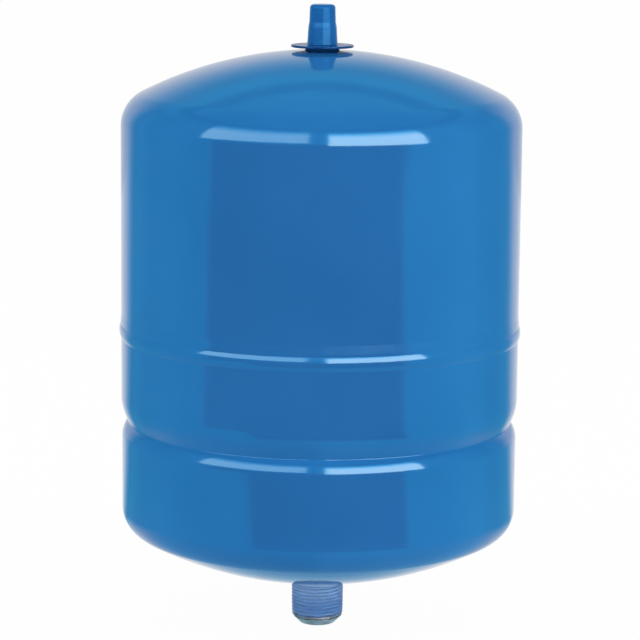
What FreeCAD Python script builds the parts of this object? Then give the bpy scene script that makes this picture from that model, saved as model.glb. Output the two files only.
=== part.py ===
import FreeCAD, Part
import math
import os

# In-line well pressure tank. Millimetres, +Z up, the tank's axis on Z.
# The origin is the centre of the end face of the threaded system connection.

# Steel shell
SHELL_RADIUS = 101.6
SHELL_WALL = 1.2
LOWER_WALL_INSET = 0.35
LOWER_CROWN_RADIUS = 195.6
LOWER_KNUCKLE_RADIUS = 14.5
UPPER_CROWN_RADIUS = 202.0
UPPER_KNUCKLE_RADIUS = 18.5
LOWER_WALL_HEIGHT = 44.8
GROOVE_TO_SEAM = 49.3
SEAM_TO_SHOULDER = 102.05

# Clench groove rolled into the lower shell
GROOVE_DEPTH = 3.4
GROOVE_LIP_DROP = 3.5
GROOVE_ENTRY_RISE = 8.6
GROOVE_LIP_BEND = 8.5
GROOVE_FLOOR_BEND = 1.6
GROOVE_ENTRY_BEND = 25.0
TIGHTEST_BEND = 0.3

# Lapped seam: the belled rim of the upper shell over the necked rim of the lower one
NECK_INSET = 1.0
NECK_HEIGHT = 2.7
NECK_BLEND = 1.8
NECK_BEND = 3.0
LAP_GAP = 0.1
LIP_BELOW_SEAM = 2.3
LAP_LENGTH = 5.0
BELL_TAPER = 4.4
BELL_BEND = 6.0
WELD_CAP_RISE = 4.4
WELD_CREST_RISE = 0.9
WELD_CROWN = 0.68

# Clench ring, diaphragm and water liner
SEAT_GAP = 0.1
LINER_THICKNESS = 1.2
LINER_RIM_RISE = 1.5
DIAPHRAGM_THICKNESS = 2.0
DIAPHRAGM_RIM_RISE = 3.0
DIAPHRAGM_PAD_RADIUS = 16.0
DIAPHRAGM_PAD_THICKNESS = 1.5
RING_THICKNESS = 1.2
RING_BELOW_LIP = 5.0
RING_ABOVE_GROOVE = 5.0
RING_HEM_RADIUS = 0.7

# System connection
NIPPLE_THREAD_RADIUS = 13.33
NIPPLE_THREAD_LENGTH = 20.3
NIPPLE_RELIEF_RADIUS = 12.3
NIPPLE_RELIEF_LENGTH = 4.97
NIPPLE_BORE_RADIUS = 8.0
NIPPLE_END_RADIUS = 9.0
NIPPLE_LEAD_HEIGHT = 4.3
NIPPLE_BORE_CHAMFER = 0.4
NIPPLE_HOLE_GAP = 0.1
NECK_SOCKET_RADIUS = 9.6
NECK_SOCKET_FLOOR = 12.0
NIPPLE_WELD_LEG = 3.0
NIPPLE_WELD_BULGE = 0.35
LINER_NECK_WALL = 2.1
LINER_NECK_GAP = 0.1
O_RING_SECTION = 1.5
O_RING_SQUEEZE_GAP = 0.04
O_RING_HEIGHT = 5.0

# Port grille pressed into the liner's neck
GRILLE_GAP = 0.05
GRILLE_HEIGHT = 6.0
GRILLE_WALL = 1.0
GRILLE_PLATE = 1.5
GRILLE_HOLE_RADIUS = 1.5
GRILLE_HOLE_CIRCLE = 4.5
GRILLE_HOLE_COUNT = 6

# Valve boss
BOSS_RADIUS = 8.1
BOSS_HEIGHT = 1.3
BOSS_SPIGOT_RADIUS = 6.4
BOSS_SPIGOT_DEPTH = 5.6
BOSS_HOLE_GAP = 0.1
BOSS_BORE_RADIUS = 4.9
BOSS_WELD_LEG = 0.9
BOSS_WELD_BULGE = 0.12
BOSS_EDGE_BREAK = 0.4

# Air valve
VALVE_THREAD_GAP = 0.05
VALVE_TAIL = 7.2
GASKET_THICKNESS = 1.0
GASKET_OVERHANG = 0.5
HEX_ACROSS_FLATS = 10.0
HEX_HEIGHT = 3.0
STEM_RADIUS = 3.85
STEM_HEIGHT = 11.0
STEM_BORE_RADIUS = 2.65
STEM_AIRWAY_RADIUS = 2.0
STEM_SEAT_DEPTH = 5.0
STEM_SEAT_HEIGHT = 1.6
STEM_CHAMFER = 0.5

# Valve core
CORE_GAP = 0.08
CORE_HEAD_RECESS = 0.3
CORE_HEAD_LENGTH = 4.3
CORE_HEAD_BORE = 0.85
CORE_KEY_WIDTH = 3.0
CORE_KEY_DEPTH = 1.5
CORE_COLLAR_RADIUS = 1.4
CORE_COLLAR_LENGTH = 0.8
CORE_BARREL_LENGTH = 8.3
CORE_BARREL_GAP = 0.15
CORE_SPRING_ROOM = 1.4
CORE_SPRING_CELL = 4.6
CORE_FLOOR = 0.6
CORE_SEAL_FOOT = 0.8
PIN_RADIUS = 0.5
PIN_COLLAR_RADIUS = 1.15
PIN_COLLAR_THICKNESS = 0.5
PIN_TOP_RECESS = 0.1
POPPET_RADIUS = 1.7
POPPET_CUP_FLOOR = 0.5
POPPET_CUP_RIM = 0.2
POPPET_SEAL_THICKNESS = 0.9
POPPET_GAP = 0.02
PIN_TAIL = 0.6
SPRING_WIRE = 0.3
SPRING_TURNS = 6.0
SPRING_SIDE_GAP = 0.06

# Moulded valve cap
CAP_BRIM_RADIUS = 15.85
CAP_BRIM_THICKNESS = 1.2
CAP_SEAT_GAP = 0.2
CAP_CROWN_HEIGHT = 20.3
CAP_BASE_RADIUS = 7.7
CAP_STEP_RADIUS = 7.15
CAP_STEP_HEIGHT = 9.0
CAP_NECK_RADIUS = 6.7
CAP_NECK_HEIGHT = 11.4
CAP_TOP_RADIUS = 6.4
CAP_CROWN_ROUND = 1.8
CAP_BRIM_ROUND = 0.45
CAP_ROOT_ROUND = 0.8
CAP_STEP_ROUND = 1.5
CAP_TOP_WALL = 1.6
CAP_HEX_GAP = 0.35
CAP_STEM_GAP = 0.3
CAP_SOCKET_CLEARANCE = 1.0

# Heights and radii that follow
ORIGIN = FreeCAD.Vector(0, 0, 0)
UP = FreeCAD.Vector(0, 0, 1)


LOWER_WALL_RADIUS = SHELL_RADIUS - LOWER_WALL_INSET


def head_turn(wall, crown, knuckle):
    """Angle at the crown's centre between the axis and the start of the knuckle."""
    return math.asin((wall - knuckle) / (crown - knuckle))


def head_depth(wall, crown, knuckle):
    """Height of a dished head from its tangent line to the outside of its crown."""
    return crown - (crown - knuckle) * math.cos(head_turn(wall, crown, knuckle))


NIPPLE_RUNOUT = NIPPLE_THREAD_RADIUS - NIPPLE_RELIEF_RADIUS
LOWER_APEX_Z = NIPPLE_THREAD_LENGTH + NIPPLE_RUNOUT + NIPPLE_RELIEF_LENGTH
LOWER_TANGENT_Z = LOWER_APEX_Z + head_depth(LOWER_WALL_RADIUS, LOWER_CROWN_RADIUS, LOWER_KNUCKLE_RADIUS)
GROOVE_Z = LOWER_TANGENT_Z + LOWER_WALL_HEIGHT
SEAM_Z = GROOVE_Z + GROOVE_TO_SEAM
UPPER_TANGENT_Z = SEAM_Z + SEAM_TO_SHOULDER
UPPER_APEX_Z = UPPER_TANGENT_Z + head_depth(SHELL_RADIUS, UPPER_CROWN_RADIUS, UPPER_KNUCKLE_RADIUS)

GROOVE_FLOOR_RADIUS = SHELL_RADIUS - GROOVE_DEPTH
GROOVE_ENTRY_TURN = math.atan(GROOVE_DEPTH / GROOVE_ENTRY_RISE)
GROOVE_LIP_Z = GROOVE_Z - GROOVE_LIP_DROP
GROOVE_TOP_Z = GROOVE_Z + GROOVE_ENTRY_RISE + GROOVE_ENTRY_BEND * math.tan(GROOVE_ENTRY_TURN / 2)
NECK_RADIUS = SHELL_RADIUS - NECK_INSET
BELL_RADIUS = NECK_RADIUS + LAP_GAP + SHELL_WALL
LIP_Z = SEAM_Z - LIP_BELOW_SEAM
RIM_Z = LIP_Z + LAP_LENGTH
NECK_FOOT_Z = LIP_Z - NECK_HEIGHT

LINER_OFFSET = SHELL_WALL + SEAT_GAP
DIAPHRAGM_OFFSET = LINER_OFFSET + LINER_THICKNESS + SEAT_GAP
RING_OFFSET = DIAPHRAGM_OFFSET + DIAPHRAGM_THICKNESS + SEAT_GAP

LINER_NECK_RADIUS = NECK_SOCKET_RADIUS - LINER_NECK_GAP
LINER_NECK_BORE = LINER_NECK_RADIUS - LINER_NECK_WALL
LINER_NECK_END_Z = NECK_SOCKET_FLOOR + LINER_NECK_GAP
LINER_FLOOR_Z = LOWER_APEX_Z + LINER_OFFSET + LINER_THICKNESS
O_RING_Z = LINER_NECK_END_Z + O_RING_HEIGHT
O_RING_CENTER_RADIUS = NECK_SOCKET_RADIUS - O_RING_SQUEEZE_GAP - O_RING_SECTION / 2
O_RING_GROOVE_RADIUS = O_RING_CENTER_RADIUS - O_RING_SECTION / 2 - O_RING_SQUEEZE_GAP

BOSS_HOLE_RADIUS = BOSS_SPIGOT_RADIUS + BOSS_HOLE_GAP


def head_z(radius, apex_z, crown, side, offset=0.0):
    """Height of a head's crown, or of its parallel surface inside, at a radius."""
    depth = crown - math.sqrt((crown - offset) ** 2 - radius ** 2)
    return apex_z - side * depth


BOSS_FOOT_Z = head_z(BOSS_HOLE_RADIUS, UPPER_APEX_Z, UPPER_CROWN_RADIUS, 1)
BOSS_TOP_Z = UPPER_APEX_Z + BOSS_HEIGHT
HEX_Z = BOSS_TOP_Z + GASKET_THICKNESS
STEM_Z = HEX_Z + HEX_HEIGHT
STEM_TOP_Z = STEM_Z + STEM_HEIGHT
VALVE_TAIL_Z = BOSS_TOP_Z - VALVE_TAIL
VALVE_TAIL_RADIUS = BOSS_BORE_RADIUS - VALVE_THREAD_GAP

CORE_HEAD_Z = STEM_TOP_Z - CORE_HEAD_RECESS
CORE_BARREL_Z = CORE_HEAD_Z - CORE_HEAD_LENGTH
CORE_END_Z = CORE_BARREL_Z - CORE_BARREL_LENGTH
CORE_CELL_Z = CORE_END_Z + CORE_FLOOR
CORE_BARREL_RADIUS = STEM_AIRWAY_RADIUS - CORE_BARREL_GAP
PIN_COLLAR_Z = CORE_CELL_Z + CORE_SPRING_CELL - PIN_COLLAR_THICKNESS

CAP_BRIM_Z = BOSS_TOP_Z + CAP_SEAT_GAP
CAP_CROWN_Z = CAP_BRIM_Z + CAP_BRIM_THICKNESS
CAP_TOP_Z = CAP_CROWN_Z + CAP_CROWN_HEIGHT


def at(radius, z):
    """Point of a half section, in the XZ plane."""
    return FreeCAD.Vector(radius, 0, z)


def straight(points):
    """Straight edges through the points of a half section."""
    return [Part.LineSegment(at(*a), at(*b)).toShape() for a, b in zip(points, points[1:])]


def arc(first, middle, last):
    """Arc of a half section through three of its points."""
    return Part.Arc(at(*first), at(*middle), at(*last)).toShape()


def ends(path):
    """First and last point of a path of edges."""
    first = path[0].valueAt(path[0].FirstParameter)
    last = path[-1].valueAt(path[-1].LastParameter)
    return first, last


def spin(*paths):
    """Solid turned about Z from paths that follow one another, each joined to the next by a line."""
    edges = []
    for path, following in zip(paths, paths[1:] + paths[:1]):
        edges += path
        leave, meet = ends(path)[1], ends(following)[0]
        if leave.distanceToPoint(meet) > 1e-6:
            edges.append(Part.LineSegment(leave, meet).toShape())
    wire = Part.Wire(Part.sortEdges(edges)[0])
    return Part.Face(wire).revolve(ORIGIN, UP, 360)


def turned(points):
    """Solid turned about Z from a closed run of section points."""
    return spin(straight(points))


def rounded(points, bends):
    """Path through the points, with each inner corner rounded to its bend radius."""
    path = []
    start = at(*points[0])
    for index, bend in enumerate(bends, 1):
        before, corner, after = (at(*p) for p in points[index - 1:index + 2])
        arriving = (corner - before).normalize()
        leaving = (after - corner).normalize()
        turn = arriving.getAngle(leaving)
        reach = bend * math.tan(turn / 2)
        toward_center = (leaving - arriving).normalize()
        center = corner + toward_center * (bend / math.cos(turn / 2))
        first = corner - arriving * reach
        last = corner + leaving * reach
        path.append(Part.LineSegment(start, first).toShape())
        path.append(Part.Arc(first, center - toward_center * bend, last).toShape())
        start = last
    path.append(Part.LineSegment(start, at(*points[-1])).toShape())
    return path


def backwards(path):
    """The same path, walked from its last edge to its first."""
    turned_round = []
    for edge in reversed(path):
        first, last = edge.FirstParameter, edge.LastParameter
        middle = edge.valueAt((first + last) / 2)
        if isinstance(edge.Curve, Part.Circle):
            turned_round.append(Part.Arc(edge.valueAt(last), middle, edge.valueAt(first)).toShape())
        else:
            turned_round.append(Part.LineSegment(edge.valueAt(last), edge.valueAt(first)).toShape())
    return turned_round


def wall_path(points, bends, offset):
    """Sheet wall through the outer corner points, moved toward the axis by the offset."""
    moved, moved_bends = [], []
    normals = []
    for (r0, z0), (r1, z1) in zip(points, points[1:]):
        length = math.hypot(r1 - r0, z1 - z0)
        sign = 1 if z1 > z0 else -1
        normals.append((-sign * (z1 - z0) / length, sign * (r1 - r0) / length))
    moved.append((points[0][0] + offset * normals[0][0], points[0][1]))
    for corner, bend, (ar, az), (br, bz) in zip(points[1:-1], bends, normals, normals[1:]):
        share = offset / (1 + ar * br + az * bz)
        moved.append((corner[0] + share * (ar + br), corner[1] + share * (az + bz)))
        climb = 1 if points[-1][1] > points[0][1] else -1
        bulges = climb * (ar * bz - az * br) > 0
        moved_bends.append(max(bend - offset, TIGHTEST_BEND) if bulges else bend + offset)
    moved.append((points[-1][0] + offset * normals[-1][0], points[-1][1]))
    return rounded(moved, moved_bends)


def head_path(side, tangent_z, wall, crown, knuckle, start_radius, offset):
    """Crown and knuckle arcs from a radius near the axis out to the wall's tangent line."""
    turn = head_turn(wall, crown, knuckle)
    crown_center_z = tangent_z - side * (crown - knuckle) * math.cos(turn)

    def on_crown(angle):
        reach = crown - offset
        return reach * math.sin(angle), crown_center_z + side * reach * math.cos(angle)

    def on_knuckle(angle):
        reach = knuckle - offset
        return wall - knuckle + reach * math.sin(angle), tangent_z + side * reach * math.cos(angle)

    start = math.asin(start_radius / (crown - offset))
    square = math.pi / 2
    return [arc(on_crown(start), on_crown((start + turn) / 2), on_crown(turn)),
            arc(on_knuckle(turn), on_knuckle((turn + square) / 2), on_knuckle(square))]


def groove_corners(low_z, high_z):
    """Outer corners and bends of the lower wall between two heights, across the clench groove."""
    points = [(LOWER_WALL_RADIUS, low_z),
              (LOWER_WALL_RADIUS, GROOVE_LIP_Z),
              (GROOVE_FLOOR_RADIUS, GROOVE_Z),
              (SHELL_RADIUS, GROOVE_Z + GROOVE_ENTRY_RISE),
              (SHELL_RADIUS, high_z)]
    return points, [GROOVE_LIP_BEND, GROOVE_FLOOR_BEND, GROOVE_ENTRY_BEND]


def lower_head(start_radius, offset):
    """Lower head from a radius out to the wall, inside the shell's outer face by the offset."""
    return head_path(-1, LOWER_TANGENT_Z, LOWER_WALL_RADIUS, LOWER_CROWN_RADIUS, LOWER_KNUCKLE_RADIUS,
                     start_radius, offset)


def upper_head(offset):
    """Upper head from the hole of the boss out to the wall."""
    return head_path(1, UPPER_TANGENT_Z, SHELL_RADIUS, UPPER_CROWN_RADIUS, UPPER_KNUCKLE_RADIUS,
                     BOSS_HOLE_RADIUS, offset)


def cup_layer(offset, start_radius, rim_z):
    """Path of a layer that lines the lower shell up to a rim."""
    points, bends = groove_corners(LOWER_TANGENT_Z, rim_z)
    return lower_head(start_radius, offset) + wall_path(points, bends, offset)


def lower_shell():
    """Drawn lower shell: dished head, clench groove, band and necked rim."""
    points, bends = groove_corners(LOWER_TANGENT_Z, NECK_FOOT_Z)
    points += [(NECK_RADIUS, NECK_FOOT_Z + NECK_BLEND), (NECK_RADIUS, RIM_Z)]
    bends += [NECK_BEND, NECK_BEND]
    hole = NIPPLE_RELIEF_RADIUS + NIPPLE_HOLE_GAP
    outer, inner = (lower_head(hole, offset) + wall_path(points, bends, offset)
                    for offset in (0.0, SHELL_WALL))
    return spin(outer, backwards(inner))


def upper_shell():
    """Drawn upper shell: dished head, wall and the belled rim that laps the lower shell."""
    points = [(SHELL_RADIUS, UPPER_TANGENT_Z),
              (SHELL_RADIUS, RIM_Z + BELL_TAPER),
              (BELL_RADIUS, RIM_Z),
              (BELL_RADIUS, LIP_Z)]
    outer, inner = (upper_head(offset) + wall_path(points, [BELL_BEND, BELL_BEND], offset)
                    for offset in (0.0, SHELL_WALL))
    return spin(outer, backwards(inner))


def girth_weld():
    """Bead that closes the lap and rounds off the bell's lip."""
    wall_and_neck = rounded([(SHELL_RADIUS, NECK_FOOT_Z - NECK_BLEND),
                             (SHELL_RADIUS, NECK_FOOT_Z),
                             (NECK_RADIUS, NECK_FOOT_Z + NECK_BLEND),
                             (NECK_RADIUS, LIP_Z)], [NECK_BEND, NECK_BEND])
    neck = wall_and_neck[1:]
    toe = ends(neck)[0]
    cap = (BELL_RADIUS, LIP_Z + WELD_CAP_RISE)
    crest = (BELL_RADIUS + WELD_CROWN, LIP_Z + WELD_CREST_RISE)
    lip = straight([(NECK_RADIUS, LIP_Z), (BELL_RADIUS, LIP_Z), cap])
    return spin(neck + lip, [arc(cap, crest, (toe.x, toe.z))])


def water_liner():
    """Moulded liner of the water side, with the neck that passes into the connection."""
    rim_z = GROOVE_TOP_Z + LINER_RIM_RISE
    groove_low = O_RING_Z - O_RING_SECTION / 2 - O_RING_SQUEEZE_GAP
    groove_high = O_RING_Z + O_RING_SECTION / 2 + O_RING_SQUEEZE_GAP
    outer_floor_z = head_z(LINER_NECK_RADIUS, LOWER_APEX_Z, LOWER_CROWN_RADIUS, -1, LINER_OFFSET)
    inner_offset = LINER_OFFSET + LINER_THICKNESS
    inner_floor_z = head_z(LINER_NECK_BORE, LOWER_APEX_Z, LOWER_CROWN_RADIUS, -1, inner_offset)
    neck_outside = straight([(LINER_NECK_RADIUS, LINER_NECK_END_Z),
                             (LINER_NECK_RADIUS, groove_low),
                             (O_RING_GROOVE_RADIUS, groove_low),
                             (O_RING_GROOVE_RADIUS, groove_high),
                             (LINER_NECK_RADIUS, groove_high),
                             (LINER_NECK_RADIUS, outer_floor_z)])
    neck_inside = straight([(LINER_NECK_BORE, inner_floor_z), (LINER_NECK_BORE, LINER_NECK_END_Z)])
    outer = cup_layer(LINER_OFFSET, LINER_NECK_RADIUS, rim_z)
    inner = cup_layer(inner_offset, LINER_NECK_BORE, rim_z)
    return spin(neck_outside + outer, backwards(inner) + neck_inside)


def diaphragm():
    """Rubber cup between air and water, pressed down on the liner by the air charge."""
    rim_z = GROOVE_TOP_Z + DIAPHRAGM_RIM_RISE
    inner_offset = DIAPHRAGM_OFFSET + DIAPHRAGM_THICKNESS
    cup = spin(cup_layer(DIAPHRAGM_OFFSET, 0.0, rim_z), backwards(cup_layer(inner_offset, 0.0, rim_z)))
    pad_foot_z = LOWER_APEX_Z + DIAPHRAGM_OFFSET + DIAPHRAGM_THICKNESS / 2
    pad_edge_z = head_z(DIAPHRAGM_PAD_RADIUS, LOWER_APEX_Z, LOWER_CROWN_RADIUS, -1, inner_offset)
    pad_top_z = pad_edge_z + DIAPHRAGM_PAD_THICKNESS
    pad = turned([(0, pad_foot_z),
                  (DIAPHRAGM_PAD_RADIUS, pad_edge_z - DIAPHRAGM_THICKNESS / 2),
                  (DIAPHRAGM_PAD_RADIUS, pad_edge_z),
                  (DIAPHRAGM_PAD_RADIUS - DIAPHRAGM_PAD_THICKNESS, pad_top_z),
                  (0, pad_top_z),
                  (0, pad_foot_z)])
    return cup.fuse(pad).removeSplitter()


def clench_ring():
    """Steel hoop that holds the rims of the diaphragm and the liner in the rolled groove."""
    points, bends = groove_corners(GROOVE_LIP_Z - RING_BELOW_LIP, GROOVE_TOP_Z + RING_ABOVE_GROOVE)
    outer = wall_path(points, bends, RING_OFFSET)
    inner = wall_path(points, bends, RING_OFFSET + RING_THICKNESS)
    hoop = spin(outer, backwards(inner))
    hem_radius = SHELL_RADIUS - RING_OFFSET - RING_THICKNESS - RING_HEM_RADIUS
    hem = Part.makeTorus(hem_radius + RING_HEM_RADIUS / 2, RING_HEM_RADIUS, at(0, points[-1][1]), UP)
    return hoop.fuse(hem).removeSplitter()


def nipple():
    """Threaded system connection, turned from bar, with a long lead and a socket for the liner."""
    top_z = LOWER_APEX_Z + SHELL_WALL
    return turned([(NIPPLE_BORE_RADIUS + NIPPLE_BORE_CHAMFER, 0),
                   (NIPPLE_END_RADIUS, 0),
                   (NIPPLE_THREAD_RADIUS, NIPPLE_LEAD_HEIGHT),
                   (NIPPLE_THREAD_RADIUS, NIPPLE_THREAD_LENGTH),
                   (NIPPLE_RELIEF_RADIUS, NIPPLE_THREAD_LENGTH + NIPPLE_RUNOUT),
                   (NIPPLE_RELIEF_RADIUS, top_z),
                   (NECK_SOCKET_RADIUS, top_z),
                   (NECK_SOCKET_RADIUS, NECK_SOCKET_FLOOR),
                   (NIPPLE_BORE_RADIUS, NECK_SOCKET_FLOOR),
                   (NIPPLE_BORE_RADIUS, NIPPLE_BORE_CHAMFER),
                   (NIPPLE_BORE_RADIUS + NIPPLE_BORE_CHAMFER, 0)])


def fillet_weld(radius, leg, bulge, apex_z, crown, side):
    """Convex bead in the corner between a round stub and a head's outside."""
    shell_end = (radius + leg, head_z(radius + leg, apex_z, crown, side))
    root = (radius, head_z(radius, apex_z, crown, side))
    stub_end = (radius, root[1] + side * leg)
    slope = (bulge / math.sqrt(2), side * bulge / math.sqrt(2))
    middle = ((shell_end[0] + stub_end[0]) / 2 + slope[0], (shell_end[1] + stub_end[1]) / 2 + slope[1])
    half = radius + leg / 2
    along_head = [arc(shell_end, (half, head_z(half, apex_z, crown, side)), root)]
    return spin(along_head, [arc(stub_end, middle, shell_end)])


def liner_o_ring():
    """Seal between the liner's neck and the connection."""
    return Part.makeTorus(O_RING_CENTER_RADIUS, O_RING_SECTION / 2, at(0, O_RING_Z), UP)


def port_grille():
    """Ported insert that keeps the diaphragm out of the connection when the tank is empty."""
    radius = LINER_NECK_BORE - GRILLE_GAP
    foot_z = LINER_FLOOR_Z - GRILLE_HEIGHT
    plate_z = LINER_FLOOR_Z - GRILLE_PLATE
    bore = radius - GRILLE_WALL
    body = turned([(radius, foot_z), (radius, LINER_FLOOR_Z), (0, LINER_FLOOR_Z),
                   (0, plate_z), (bore, plate_z), (bore, foot_z), (radius, foot_z)])
    ports = [Part.makeCylinder(GRILLE_HOLE_RADIUS, GRILLE_HEIGHT, at(0, foot_z))]
    for index in range(GRILLE_HOLE_COUNT):
        port = Part.makeCylinder(GRILLE_HOLE_RADIUS, GRILLE_HEIGHT, at(GRILLE_HOLE_CIRCLE, foot_z))
        port.rotate(ORIGIN, UP, 360 * index / GRILLE_HOLE_COUNT)
        ports.append(port)
    return body.cut(ports)


def valve_boss():
    """Turned boss welded over the hole in the top head."""
    return turned([(BOSS_BORE_RADIUS, BOSS_FOOT_Z - BOSS_SPIGOT_DEPTH),
                   (BOSS_SPIGOT_RADIUS, BOSS_FOOT_Z - BOSS_SPIGOT_DEPTH),
                   (BOSS_SPIGOT_RADIUS, BOSS_FOOT_Z),
                   (BOSS_RADIUS, BOSS_FOOT_Z),
                   (BOSS_RADIUS, BOSS_TOP_Z - BOSS_EDGE_BREAK),
                   (BOSS_RADIUS - BOSS_EDGE_BREAK, BOSS_TOP_Z),
                   (BOSS_BORE_RADIUS, BOSS_TOP_Z),
                   (BOSS_BORE_RADIUS, BOSS_FOOT_Z - BOSS_SPIGOT_DEPTH)])


def valve_gasket():
    """Flat seal between the hexagon of the valve and the boss."""
    inner = BOSS_BORE_RADIUS
    radius = HEX_ACROSS_FLATS / 2 + GASKET_OVERHANG
    outline = Part.makeCylinder(radius, GASKET_THICKNESS, at(0, BOSS_TOP_Z))
    return outline.cut(Part.makeCylinder(inner, GASKET_THICKNESS, at(0, BOSS_TOP_Z)))


def valve_body():
    """Brass body: threaded tail, hexagon and the stem that takes the core."""
    seat_top_z = STEM_TOP_Z - STEM_SEAT_DEPTH
    seat_end_z = seat_top_z - STEM_SEAT_HEIGHT
    body = turned([(STEM_AIRWAY_RADIUS, VALVE_TAIL_Z),
                   (VALVE_TAIL_RADIUS - STEM_CHAMFER, VALVE_TAIL_Z),
                   (VALVE_TAIL_RADIUS, VALVE_TAIL_Z + STEM_CHAMFER),
                   (VALVE_TAIL_RADIUS, HEX_Z + HEX_HEIGHT / 2),
                   (STEM_RADIUS, HEX_Z + HEX_HEIGHT / 2),
                   (STEM_RADIUS, STEM_TOP_Z - STEM_CHAMFER),
                   (STEM_RADIUS - STEM_CHAMFER, STEM_TOP_Z),
                   (STEM_BORE_RADIUS, STEM_TOP_Z),
                   (STEM_BORE_RADIUS, seat_top_z),
                   (STEM_AIRWAY_RADIUS, seat_end_z),
                   (STEM_AIRWAY_RADIUS, VALVE_TAIL_Z)])
    corner = HEX_ACROSS_FLATS / math.sqrt(3)
    corners = [FreeCAD.Vector(corner * math.cos(math.radians(60 * k)),
                              corner * math.sin(math.radians(60 * k)), HEX_Z) for k in range(7)]
    hexagon = Part.Face(Part.makePolygon(corners)).extrude(UP * HEX_HEIGHT)
    flat = HEX_ACROSS_FLATS / 2
    chamfer = (corner - flat) * math.tan(math.radians(30))
    rounding = turned([(STEM_AIRWAY_RADIUS, HEX_Z), (flat, HEX_Z), (corner, HEX_Z + chamfer),
                       (corner, STEM_Z - chamfer), (flat, STEM_Z), (STEM_AIRWAY_RADIUS, STEM_Z),
                       (STEM_AIRWAY_RADIUS, HEX_Z)])
    return body.fuse(hexagon.common(rounding)).removeSplitter()


def core_head():
    """Threaded plug at the top of the core, with two flats for the key."""
    radius = STEM_BORE_RADIUS - CORE_GAP
    plug = Part.makeCylinder(radius, CORE_HEAD_LENGTH, at(0, CORE_BARREL_Z))
    bore = Part.makeCylinder(CORE_HEAD_BORE, CORE_HEAD_LENGTH, at(0, CORE_BARREL_Z))
    swivel = Part.makeCylinder(CORE_COLLAR_RADIUS + CORE_GAP, CORE_COLLAR_LENGTH + CORE_GAP,
                               at(0, CORE_BARREL_Z))
    sides = []
    for turn in (0, 180):
        side = Part.makeBox(radius, 2 * radius, CORE_KEY_DEPTH,
                            FreeCAD.Vector(CORE_KEY_WIDTH / 2, -radius, CORE_HEAD_Z - CORE_KEY_DEPTH))
        side.rotate(ORIGIN, UP, turn)
        sides.append(side)
    return plug.cut([bore, swivel] + sides)


def seal_waist_radius():
    """Radius of the barrel's waist, which carries the cone seal."""
    return (CORE_HEAD_BORE + CORE_BARREL_RADIUS) / 2


def core_barrel():
    """Barrel that hangs from the head and holds the spring."""
    collar_top = CORE_BARREL_Z + CORE_COLLAR_LENGTH
    waist_end_z = STEM_TOP_Z - STEM_SEAT_DEPTH - STEM_SEAT_HEIGHT - CORE_SEAL_FOOT
    waist = seal_waist_radius()
    cell_top_z = CORE_CELL_Z + CORE_SPRING_CELL
    return turned([(CORE_HEAD_BORE, collar_top),
                   (CORE_COLLAR_RADIUS, collar_top),
                   (waist, CORE_BARREL_Z - CORE_GAP),
                   (waist, waist_end_z),
                   (CORE_BARREL_RADIUS, waist_end_z),
                   (CORE_BARREL_RADIUS, CORE_END_Z),
                   (CORE_HEAD_BORE, CORE_END_Z),
                   (CORE_HEAD_BORE, CORE_CELL_Z),
                   (CORE_SPRING_ROOM, CORE_CELL_Z),
                   (CORE_SPRING_ROOM, cell_top_z),
                   (CORE_HEAD_BORE, cell_top_z),
                   (CORE_HEAD_BORE, collar_top)])


def core_seal():
    """Cone ring that seals the core in its seat."""
    seat_top_z = STEM_TOP_Z - STEM_SEAT_DEPTH
    seat_end_z = seat_top_z - STEM_SEAT_HEIGHT
    waist = seal_waist_radius()
    return turned([(waist, seat_end_z - CORE_SEAL_FOOT),
                   (STEM_AIRWAY_RADIUS - CORE_GAP, seat_end_z - CORE_SEAL_FOOT),
                   (STEM_AIRWAY_RADIUS - CORE_GAP, seat_end_z),
                   (STEM_BORE_RADIUS - CORE_GAP, seat_top_z),
                   (waist, seat_top_z),
                   (waist, seat_end_z - CORE_SEAL_FOOT)])


def poppet_top_z():
    """Height of the poppet seal's face at rest, against the end of the barrel."""
    return CORE_END_Z - POPPET_GAP


def core_pin():
    """Pin from the head down to the poppet, with the collar that the spring lifts."""
    cup_z = poppet_top_z() - POPPET_SEAL_THICKNESS - POPPET_CUP_FLOOR
    return turned([(0, STEM_TOP_Z - PIN_TOP_RECESS),
                   (PIN_RADIUS, STEM_TOP_Z - PIN_TOP_RECESS),
                   (PIN_RADIUS, PIN_COLLAR_Z + PIN_COLLAR_THICKNESS),
                   (PIN_COLLAR_RADIUS, PIN_COLLAR_Z + PIN_COLLAR_THICKNESS),
                   (PIN_COLLAR_RADIUS, PIN_COLLAR_Z),
                   (PIN_RADIUS, PIN_COLLAR_Z),
                   (PIN_RADIUS, cup_z - PIN_TAIL),
                   (0, cup_z - PIN_TAIL),
                   (0, STEM_TOP_Z - PIN_TOP_RECESS)])


def poppet():
    """Brass cup riveted to the pin."""
    seal_z = poppet_top_z() - POPPET_SEAL_THICKNESS
    rim_z = seal_z + POPPET_SEAL_THICKNESS / 2
    return turned([(PIN_RADIUS, seal_z - POPPET_CUP_FLOOR),
                   (POPPET_RADIUS, seal_z - POPPET_CUP_FLOOR),
                   (POPPET_RADIUS, rim_z),
                   (POPPET_RADIUS - POPPET_CUP_RIM, rim_z),
                   (POPPET_RADIUS - POPPET_CUP_RIM, seal_z),
                   (PIN_RADIUS, seal_z),
                   (PIN_RADIUS, seal_z - POPPET_CUP_FLOOR)])


def poppet_seal():
    """Rubber disc in the cup, closed against the barrel."""
    seal_z = poppet_top_z() - POPPET_SEAL_THICKNESS
    disc = Part.makeCylinder(POPPET_RADIUS - POPPET_CUP_RIM, POPPET_SEAL_THICKNESS, at(0, seal_z))
    return disc.cut(Part.makeCylinder(PIN_RADIUS, POPPET_SEAL_THICKNESS, at(0, seal_z)))


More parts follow.
